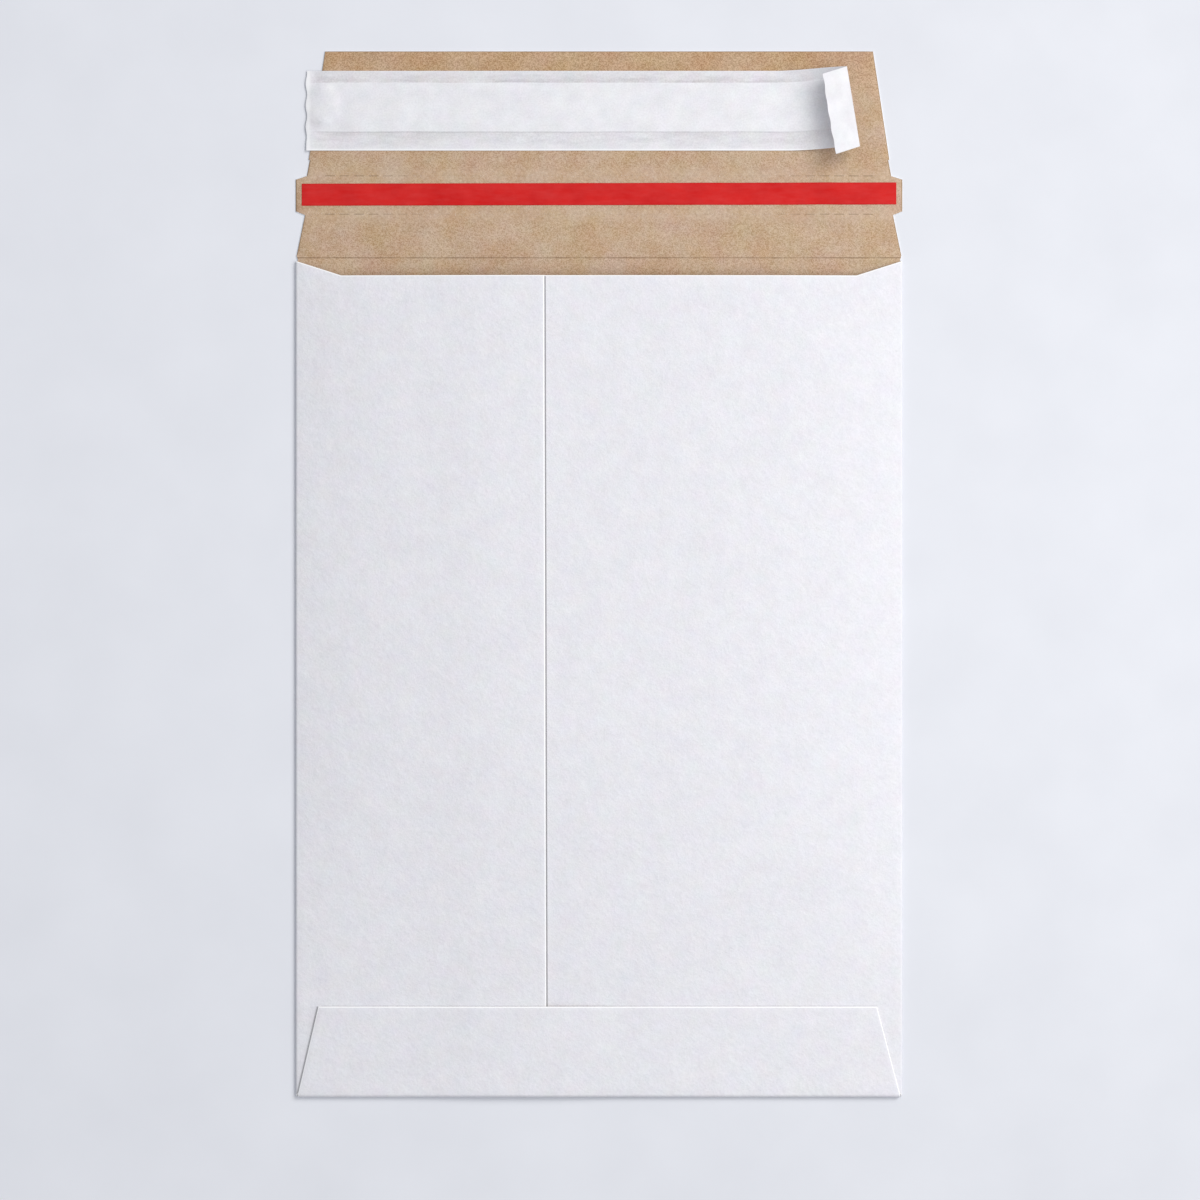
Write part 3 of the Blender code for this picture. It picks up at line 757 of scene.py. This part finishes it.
def make_fibre_group():
    """Pulp pressed into board and paper: streaks along its grain, cloudy blotches, fine grain, its specks and
    a few larger flecks, each from 0 to 1, and faint tints that are grey on the whole."""
    floats = "NodeSocketFloat"
    group, given, result = add_group(
        "pressed_fibres",
        [
            ("Vector", "NodeSocketVector", None),
            ("Streak Turn", "NodeSocketVector", None),
            ("Streak Stretch", "NodeSocketVector", None),
            ("Streak Scale", floats, 900.0),
            ("Cloud Scale", floats, 70.0),
            ("Grain Scale", floats, 1500.0),
            ("Fleck Scale", floats, 120.0),
        ],
        [
            ("Streaks", floats),
            ("Clouds", floats),
            ("Grain", floats),
            ("Specks", floats),
            ("Flecks", floats),
            ("Tints", "NodeSocketColor"),
        ],
    )
    lay = add_node(group, "ShaderNodeMapping", vector_type="TEXTURE")
    group.links.new(given.outputs["Vector"], lay.inputs["Vector"])
    group.links.new(given.outputs["Streak Turn"], lay.inputs["Rotation"])
    group.links.new(given.outputs["Streak Stretch"], lay.inputs["Scale"])
    tint_scale = math_node(group, "MULTIPLY", given.outputs["Cloud Scale"], 1.3)
    for label, source, scale, detail, rough in (
        ("Streaks", lay.outputs["Vector"], given.outputs["Streak Scale"], 5, 0.6),
        ("Clouds", given.outputs["Vector"], given.outputs["Cloud Scale"], 7, 0.65),
        ("Grain", given.outputs["Vector"], given.outputs["Grain Scale"], 3, 0.5),
        ("Tints", given.outputs["Vector"], tint_scale, 5, 0.6),
    ):
        texture = add_node(group, "ShaderNodeTexNoise")
        texture.inputs["Detail"].default_value = detail
        texture.inputs["Roughness"].default_value = rough
        group.links.new(source, texture.inputs["Vector"])
        group.links.new(scale, texture.inputs["Scale"])
        kind = "Color" if label == "Tints" else "Fac"
        group.links.new(texture.outputs[kind], result.inputs[label])
        if label == "Grain":
            peaks = math_node(group, "SUBTRACT", texture.outputs["Fac"], 0.60)
            group.links.new(math_node(group, "MULTIPLY", peaks, 9.0, True), result.inputs["Specks"])
    cells = add_node(group, "ShaderNodeTexVoronoi")
    group.links.new(given.outputs["Vector"], cells.inputs["Vector"])
    group.links.new(given.outputs["Fleck Scale"], cells.inputs["Scale"])
    dot = band_mask(group, cells.outputs["Distance"], 0, FLECK_SIZE)
    share = add_node(group, "ShaderNodeSeparateColor")
    group.links.new(cells.outputs["Color"], share.inputs[0])
    few = math_node(group, "GREATER_THAN", share.outputs[0], 0.45)
    group.links.new(math_node(group, "MULTIPLY", dot, few), result.inputs["Flecks"])
    return group


def begin_material(name, roughness, specular):
    material = bpy.data.materials.new(name)
    material.use_nodes = True
    tree = material.node_tree
    shader = tree.nodes["Principled BSDF"]
    shader.inputs["Roughness"].default_value = roughness
    shader.inputs["Specular IOR Level"].default_value = specular
    place = add_node(tree, "ShaderNodeTexCoord").outputs["Object"]
    return material, tree, shader, place


def place_fibres(tree, group, place, streak, cloud, grain, turn=GRAIN_TURN, stretch=1.2, fleck=120):
    node = add_node(tree, "ShaderNodeGroup", node_tree=group)
    node.inputs["Streak Turn"].default_value = (0, 0, turn)
    node.inputs["Streak Stretch"].default_value = (stretch, 1, 1)
    node.inputs["Streak Scale"].default_value = streak
    node.inputs["Cloud Scale"].default_value = cloud
    node.inputs["Grain Scale"].default_value = grain
    node.inputs["Fleck Scale"].default_value = fleck
    tree.links.new(place, node.inputs["Vector"])
    return node.outputs


def mix_colours(tree, share, first, second, blend="MIX"):
    node = add_node(tree, "ShaderNodeMix", data_type="RGBA", blend_type=blend)
    for socket, value in ((node.inputs[0], share), (node.inputs[6], first), (node.inputs[7], second)):
        if isinstance(value, (int, float)):
            socket.default_value = value
        elif isinstance(value, tuple):
            socket.default_value = (*value, 1.0)
        else:
            tree.links.new(value, socket)
    return node.outputs[2]


def swayed(tree, colour, *patterns):
    """A colour made lighter and darker by patterns, each given with its share, and unchanged on the whole."""
    for pattern, share in patterns:
        colour = mix_colours(tree, share, colour, pattern, "LINEAR_LIGHT")
    return colour


def ramp(tree, value, start, end):
    """0 up to start, then rising smoothly to 1 at end."""
    node = add_node(tree, "ShaderNodeMapRange", interpolation_type="SMOOTHSTEP")
    node.inputs["From Min"].default_value = start
    node.inputs["From Max"].default_value = end
    tree.links.new(value, node.inputs["Value"])
    return node.outputs["Result"]


def split(tree, place):
    parts = add_node(tree, "ShaderNodeSeparateXYZ")
    tree.links.new(place, parts.inputs[0])
    return parts.outputs


def add_relief(tree, shader, height, depth, strength):
    bump = add_node(tree, "ShaderNodeBump")
    bump.inputs["Distance"].default_value = depth
    bump.inputs["Strength"].default_value = strength
    tree.links.new(height, bump.inputs["Height"])
    tree.links.new(bump.outputs["Normal"], shader.inputs["Normal"])


def tear_line_mask(tree, place):
    """The dashes of the two tear lines as they press through, strongest towards the flap's two sides: painted
    shade in the kraft's colour, and a dent in its relief.
    """
    x, y, _ = split(tree, place)
    rows = [band_mask(tree, y, SCORE_Y + past_score, TEAR_MARK) for past_score in TEAR_LINES]
    along = math_node(tree, "SUBTRACT", x, FIRST_CUT_X)
    along = math_node(tree, "FRACT", math_node(tree, "DIVIDE", along, TEAR_CUT_PITCH))
    dash = math_node(tree, "LESS_THAN", along, TEAR_CUT_LENGTH / TEAR_CUT_PITCH)
    reach = math_node(tree, "LESS_THAN", math_node(tree, "ABSOLUTE", x), -FIRST_CUT_X)
    strength = math_node(tree, "ADD", ramp(tree, math_node(tree, "ABSOLUTE", x), 0.06, 0.11), 0.2, True)
    dashes = math_node(tree, "MULTIPLY", math_node(tree, "MULTIPLY", dash, reach), strength)
    return math_node(tree, "MULTIPLY", math_node(tree, "MAXIMUM", rows[0], rows[1]), dashes)


def band_mask(tree, value, middle, half_width):
    """1 along a line, fading to 0 at half_width to each side of it."""
    away = math_node(tree, "ABSOLUTE", math_node(tree, "SUBTRACT", value, middle))
    return math_node(tree, "SUBTRACT", 1.0, math_node(tree, "DIVIDE", away, half_width), True)


def lap_shadow_mask(tree, place):
    """Painted shadow: 1 in the tight corner where one layer of board ends on the next, at the seam and the
    bottom flap, and fading outwards beside the bottom flap's left slanted edge.
    """
    x, y, z = split(tree, place)
    flap_top = BOTTOM_Y + BOTTOM_FLAP_LENGTH
    slant = math_node(tree, "MULTIPLY", math_node(tree, "SUBTRACT", y, BOTTOM_Y), SEAM_SLANT / POCKET_LENGTH)
    seam = band_mask(tree, math_node(tree, "ADD", x, slant), SEAM_X + 0.00038, LAP_CORNER)
    seam = math_node(tree, "MULTIPLY", seam, math_node(tree, "GREATER_THAN", y, flap_top))
    top = band_mask(tree, y, flap_top + 0.0003, LAP_CORNER)
    within = math_node(tree, "LESS_THAN", math_node(tree, "ABSOLUTE", x), FOLD_X - BOTTOM_FLAP_TAPER)
    top = math_node(tree, "MULTIPLY", math_node(tree, "MULTIPLY", top, within), 0.16)
    share = math_node(tree, "SUBTRACT", y, BOTTOM_Y + FOLD_START)
    left_taper = BOTTOM_FLAP_TAPER - LEFT_TAPER_LESS
    taper = math_node(tree, "MULTIPLY", share, left_taper / (BOTTOM_FLAP_LENGTH - FOLD_START))
    from_side = math_node(tree, "SUBTRACT", math_node(tree, "ADD", x, FOLD_X), taper)
    side = band_mask(tree, from_side, -0.0004, SLANTED_LAP_CORNER)
    soft = band_mask(tree, from_side, -0.0004, SLANTED_LAP_SHADE)
    outside = math_node(tree, "LESS_THAN", from_side, -0.0001)
    side = math_node(tree, "MULTIPLY", side, 0.5)
    side = math_node(tree, "ADD", side, math_node(tree, "MULTIPLY", soft, 0.12))
    below = math_node(tree, "LESS_THAN", y, flap_top)
    side = math_node(tree, "MULTIPLY", math_node(tree, "MULTIPLY", side, outside), below)
    corners = math_node(tree, "MAXIMUM", math_node(tree, "MAXIMUM", seam, top), side)
    on_back = math_node(tree, "LESS_THAN", y, SCORE_Y - LIP_DROP + 0.0005)
    on_back = math_node(tree, "MULTIPLY", on_back, math_node(tree, "GREATER_THAN", z, ABOVE_FRONT))
    return math_node(tree, "MULTIPLY", corners, on_back)


def score_shade_mask(tree, place):
    """Painted shade: 1 on the crease of the score, broken up along its length."""
    line = band_mask(tree, split(tree, place)["Y"], SCORE_Y, SCORE_MARK)
    breaks = add_node(tree, "ShaderNodeTexNoise")
    breaks.inputs["Scale"].default_value = 90.0
    tree.links.new(place, breaks.inputs["Vector"])
    share = math_node(tree, "MULTIPLY", math_node(tree, "SUBTRACT", breaks.outputs["Fac"], 0.12), 2.2, True)
    return math_node(tree, "MULTIPLY", line, share)


def stronger(tree, value, gain):
    """A pattern with its swing about the middle widened."""
    away = math_node(tree, "MULTIPLY", math_node(tree, "SUBTRACT", value, 0.5), gain)
    return math_node(tree, "ADD", away, 0.5, True)


def kraft_finish(fibres):
    """Brown pulp: warm and pale patches, sharp light and dark grain, browner towards the free edge. It has
    painted shade in the score's crease and the tear dashes, and painted highlights on fibres raised beside
    the tear lines.
    """
    material, tree, shader, place = begin_material("kraft_inside", 0.82, 0.2)
    out = place_fibres(tree, fibres, place, 1100, 62, 1900, fleck=190)
    patches = stronger(tree, out["Clouds"], 5.0)
    warm = mix_colours(tree, patches, KRAFT_WARM, KRAFT_PALE)
    y = split(tree, place)["Y"]
    browner = ramp(tree, y, SCORE_Y + BROWN_FROM, SCORE_Y + BROWN_TO)
    swing = math_node(tree, "ADD", math_node(tree, "MULTIPLY", browner, 0.6), 1.0)
    grain = math_node(tree, "MULTIPLY", math_node(tree, "SUBTRACT", out["Grain"], 0.5), 3.4)
    streaks = math_node(tree, "MULTIPLY", math_node(tree, "SUBTRACT", out["Streaks"], 0.5), 1.6)
    tone = math_node(tree, "MULTIPLY", math_node(tree, "ADD", grain, streaks), swing)
    tone = math_node(tree, "ADD", tone, 0.5, True)
    dark = mix_colours(tree, 0.38, warm, KRAFT_SHADE)
    light = mix_colours(tree, 0.38, warm, KRAFT_SHINE)
    colour = mix_colours(tree, tone, dark, light)
    colour = swayed(tree, colour, (out["Tints"], 0.035))
    colour = mix_colours(tree, math_node(tree, "MULTIPLY", out["Specks"], 0.6), colour, KRAFT_SPECK)
    colour = mix_colours(tree, math_node(tree, "MULTIPLY", out["Flecks"], 0.7), colour, KRAFT_FLECK)
    # painted highlights on fibres raised beside the tear lines
    near_tear_lines = [band_mask(tree, y, SCORE_Y + line, TEAR_HIGHLIGHT_REACH) for line in TEAR_LINES]
    raised = math_node(tree, "MULTIPLY", math_node(tree, "SUBTRACT", 0.44, out["Grain"]), 9.0, True)
    raised = math_node(tree, "MULTIPLY", raised, math_node(tree, "MAXIMUM", near_tear_lines[0], near_tear_lines[1]))
    colour = mix_colours(tree, math_node(tree, "MULTIPLY", raised, 0.7), colour, KRAFT_RAISED_HIGHLIGHT)
    colour = mix_colours(tree, browner, colour, KRAFT_TOP_TINGE, "MULTIPLY")
    # painted shade in the pressed-through dashes of the tear lines
    cuts = tear_line_mask(tree, place)
    colour = mix_colours(tree, math_node(tree, "MULTIPLY", cuts, 0.8), colour, KRAFT_DASH_SHADE)
    # painted shade in the score's crease
    crease = score_shade_mask(tree, place)
    colour = mix_colours(tree, math_node(tree, "MULTIPLY", crease, 0.85), colour, KRAFT_CREASE_SHADE)
    tree.links.new(colour, shader.inputs["Base Color"])
    height = math_node(tree, "SUBTRACT", out["Streaks"], math_node(tree, "MULTIPLY", cuts, 0.6))
    add_relief(tree, shader, height, 0.00012, 0.6)
    return material


def rim_finish(fibres):
    """The flap's brown face where its edges are rounded off, coloured a darker brown."""
    material, tree, shader, place = begin_material("kraft_rim", 0.85, 0.15)
    out = place_fibres(tree, fibres, place, 1100, 90, 1900)
    colour = mix_colours(tree, out["Clouds"], RIM_DARK, RIM_PALE)
    tree.links.new(colour, shader.inputs["Base Color"])
    add_relief(tree, shader, out["Streaks"], 0.0001, 0.5)
    return material


def white_finish(fibres):
    """Coated white board, mottled and faintly tinted, with a leathery relief, and with painted shadow
    where its layers lap.
    """
    material, tree, shader, place = begin_material("board_white", 0.6, 0.3)
    out = place_fibres(tree, fibres, place, 430, 110, 1300)
    patterns = ((out["Clouds"], 0.06), (out["Streaks"], 0.045), (out["Grain"], 0.06), (out["Tints"], 0.035))
    colour = swayed(tree, WHITE_BOARD, *patterns)
    colour = mix_colours(tree, math_node(tree, "MULTIPLY", out["Flecks"], 0.22), colour, WHITE_FLECK)
    # painted shadow in the corners where one layer of board laps on the next
    laps = lap_shadow_mask(tree, place)
    colour = mix_colours(tree, math_node(tree, "MULTIPLY", laps, 0.85), colour, LAP_SHADOW)
    tree.links.new(colour, shader.inputs["Base Color"])
    height = math_node(tree, "ADD", out["Streaks"], math_node(tree, "MULTIPLY", out["Grain"], 0.35))
    add_relief(tree, shader, height, 0.0003, 0.75)
    return material


def cut_finish(fibres):
    """The board's cut edge: bare pulp, paler than the coated faces, and made whiter still as a painted
    highlight.
    """
    material, tree, shader, place = begin_material("cut_edge", 0.9, 0.2)
    out = place_fibres(tree, fibres, place, 1800, 300, 3000)
    colour = mix_colours(tree, out["Streaks"], CUT_GREY, CUT_WHITE)
    tree.links.new(colour, shader.inputs["Base Color"])
    add_relief(tree, shader, out["Grain"], 0.0001, 0.5)
    return material


def tape_finish(fibres):
    """Red film, unevenly pressed down, a little darker along both edges."""
    material, tree, shader, place = begin_material("red_tape", 0.5, 0.06)
    out = place_fibres(tree, fibres, place, 500, 70, 1600, 0.0, 4.0)
    tone = stronger(tree, out["Clouds"], 2.6)
    colour = mix_colours(tree, tone, TAPE_DEEP, TAPE_BRIGHT)
    colour = swayed(tree, colour, (out["Streaks"], 0.02))
    x, y, _ = split(tree, place)
    y = math_node(tree, "SUBTRACT", y, math_node(tree, "MULTIPLY", x, TAPE_SLANT))
    low, high = TAPE_LOW[1] - TAPE_SPREAD, TAPE_HIGH[1] + TAPE_SPREAD
    edges = [band_mask(tree, y, edge, TAPE_EDGE_WIDTH) for edge in (low, high)]
    rim = math_node(tree, "MULTIPLY", math_node(tree, "MAXIMUM", edges[0], edges[1]), 0.35)
    colour = mix_colours(tree, rim, colour, TAPE_EDGE)
    tree.links.new(colour, shader.inputs["Base Color"])
    add_relief(tree, shader, out["Streaks"], 0.0001, 0.4)
    return material


def liner_finish(fibres):
    """Thin glazed paper: even over the adhesive, greyer and streaked where it lies on bare kraft, and with a
    painted highlight along its curled torn end and its lower edge."""
    material, tree, shader, place = begin_material("liner_paper", 0.38, 0.45)
    out = place_fibres(tree, fibres, place, 420, 110, 1500, 0.0, 5.0)
    patterns = ((out["Clouds"], 0.12), (out["Grain"], 0.10), (out["Tints"], 0.035))
    colour = swayed(tree, LINER_WHITE, *patterns)
    backing = add_node(tree, "ShaderNodeAttribute", attribute_name="over_kraft").outputs["Fac"]
    smears = stronger(tree, out["Streaks"], 3.0)
    margin = mix_colours(tree, smears, MARGIN_DARK, MARGIN_PALE)
    margin = swayed(tree, margin, (out["Tints"], 0.06), (out["Grain"], 0.16))
    colour = mix_colours(tree, backing, colour, margin)
    x, y, _ = split(tree, place)
    # painted highlight along the curled torn end and the lower edge
    edge_highlight = band_mask(tree, x, LINER_LEFT + 0.0008, 0.0014)
    lower_edge = band_mask(tree, y, SCORE_Y + LINER_START + 0.0003, 0.0006)
    edge_highlight = math_node(tree, "MULTIPLY", math_node(tree, "MAXIMUM", edge_highlight, lower_edge), 0.75)
    colour = mix_colours(tree, edge_highlight, colour, LINER_EDGE_HIGHLIGHT)
    tree.links.new(colour, shader.inputs["Base Color"])
    height = math_node(tree, "ADD", out["Clouds"], math_node(tree, "MULTIPLY", out["Streaks"], 0.4))
    add_relief(tree, shader, height, 0.0002, 0.5)
    return material


def release_finish(fibres):
    """The liner's under side, which its folded-back end shows: slick, cloudy and a touch greyer."""
    material, tree, shader, place = begin_material("release_coat", 0.42, 0.4)
    out = place_fibres(tree, fibres, place, 420, 110, 1500, 0.0, 2.0)
    patterns = ((out["Clouds"], 0.14), (out["Grain"], 0.03), (out["Tints"], 0.03))
    colour = swayed(tree, RELEASE_WHITE, *patterns)
    tree.links.new(colour, shader.inputs["Base Color"])
    add_relief(tree, shader, out["Clouds"], 0.0003, 0.5)
    return material


def adhesive_finish(name, fibres, dark, light, roughness):
    """Cloudy glue, tacky and glossy or dried and dull."""
    material, tree, shader, place = begin_material(name, roughness, 0.5)
    out = place_fibres(tree, fibres, place, 500, 200, 1200)
    colour = mix_colours(tree, out["Clouds"], dark, light)
    tree.links.new(colour, shader.inputs["Base Color"])
    add_relief(tree, shader, out["Clouds"], 0.0001, 0.4)
    return material


def floor_finish():
    """A pale floor, faintly hazy and a little darker to the right, where the lamps are nearer."""
    material, tree, shader, place = begin_material("floor", 0.9, 0.1)
    haze = add_node(tree, "ShaderNodeTexNoise")
    haze.inputs["Scale"].default_value = 25
    haze.inputs["Detail"].default_value = 6
    tree.links.new(place, haze.inputs["Vector"])
    across = add_node(tree, "ShaderNodeMapRange")
    across.inputs["From Min"].default_value = -0.25
    across.inputs["From Max"].default_value = 0.25
    tree.links.new(split(tree, place)["X"], across.inputs["Value"])
    colour = mix_colours(tree, across.outputs["Result"], FLOOR_LEFT, FLOOR_RIGHT)
    colour = swayed(tree, colour, (haze.outputs["Fac"], 0.04))
    tree.links.new(colour, shader.inputs["Base Color"])
    return material


# Putting it together


def dress_envelope():
    """Makes every piece, lets each but the score fold ride on its body in place of its solid, and gives the
    glues their finish.
    """
    fibres = make_fibre_group()
    white, kraft, cut = white_finish(fibres), kraft_finish(fibres), cut_finish(fibres)
    pocket = make_pocket_board(white, kraft, cut)
    flap = make_flap_board(white, kraft, cut, rim_finish(fibres))
    score = make_score_fold(white, kraft, cut)
    tape = make_tape(tape_finish(fibres))
    liner = make_liner(liner_finish(fibres), release_finish(fibres))
    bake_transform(score)
    for piece, body, node, slot in (
        (pocket, "envelope", "pocket", "board"),
        (flap, "flap", "closing_flap", "board"),
        (tape, "flap", "tear_tape", "tear_tape"),
        (liner, "flap", "release_liner", "release_liner"),
    ):
        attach(piece, body)
        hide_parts(node)
    tack = adhesive_finish("adhesive", fibres, (0.68, 0.64, 0.52), (0.78, 0.75, 0.64), 0.15)
    glue = adhesive_finish("dried_glue", fibres, (0.62, 0.58, 0.47), (0.74, 0.70, 0.60), 0.5)
    for name in ("adhesive_band", "seam_glue", "bottom_glue_left", "bottom_glue_right"):
        node = frame["nodes"][name]
        node.data.materials.clear()
        node.data.materials.append(tack if name == "adhesive_band" else glue)


def add_floor():
    bpy.ops.object.select_all(action="DESELECT")
    bpy.ops.mesh.primitive_plane_add(size=8, location=(0, 0, -0.00002))
    floor = bpy.context.active_object
    floor.name = "floor"
    floor.data.materials.append(floor_finish())


def add_softbox(name, place, aim, size, power, colour):
    lamp = bpy.data.lights.new(name, "AREA")
    lamp.shape = "RECTANGLE"
    lamp.size, lamp.size_y = size
    lamp.energy = power
    lamp.color = colour
    holder = bpy.data.objects.new(name, lamp)
    holder.location = place
    holder.rotation_euler = (Vector(aim) - Vector(place)).to_track_quat("-Z", "Y").to_euler()
    bpy.context.scene.collection.objects.link(holder)


def light_studio():
    add_softbox("key", (1.25, 1.2, 1.7), (0, 0, 0), (1.1, 1.1), 27.0, (1.0, 0.985, 0.97))
    add_softbox("side", (0.45, -0.05, 0.62), (0, 0, 0), (0.6, 0.6), 1.98, (1.0, 0.99, 0.98))
    world = bpy.data.worlds.new("room")
    bpy.context.scene.world = world
    world.use_nodes = True
    backdrop = world.node_tree.nodes["Background"]
    backdrop.inputs["Color"].default_value = (0.94, 0.96, 1.0, 1.0)
    backdrop.inputs["Strength"].default_value = 0.50


def place_camera():
    data = bpy.data.cameras.new("camera")
    camera = bpy.data.objects.new("camera", data)
    bpy.context.scene.collection.objects.link(camera)
    data.sensor_width = 36
    data.lens = 160.0
    data.clip_end = 20
    camera.location = (0.0004, -0.0107, 2.2)
    bpy.context.scene.camera = camera


dress_envelope()
add_floor()
light_studio()
place_camera()
bpy.context.scene.view_settings.view_transform = "Standard"
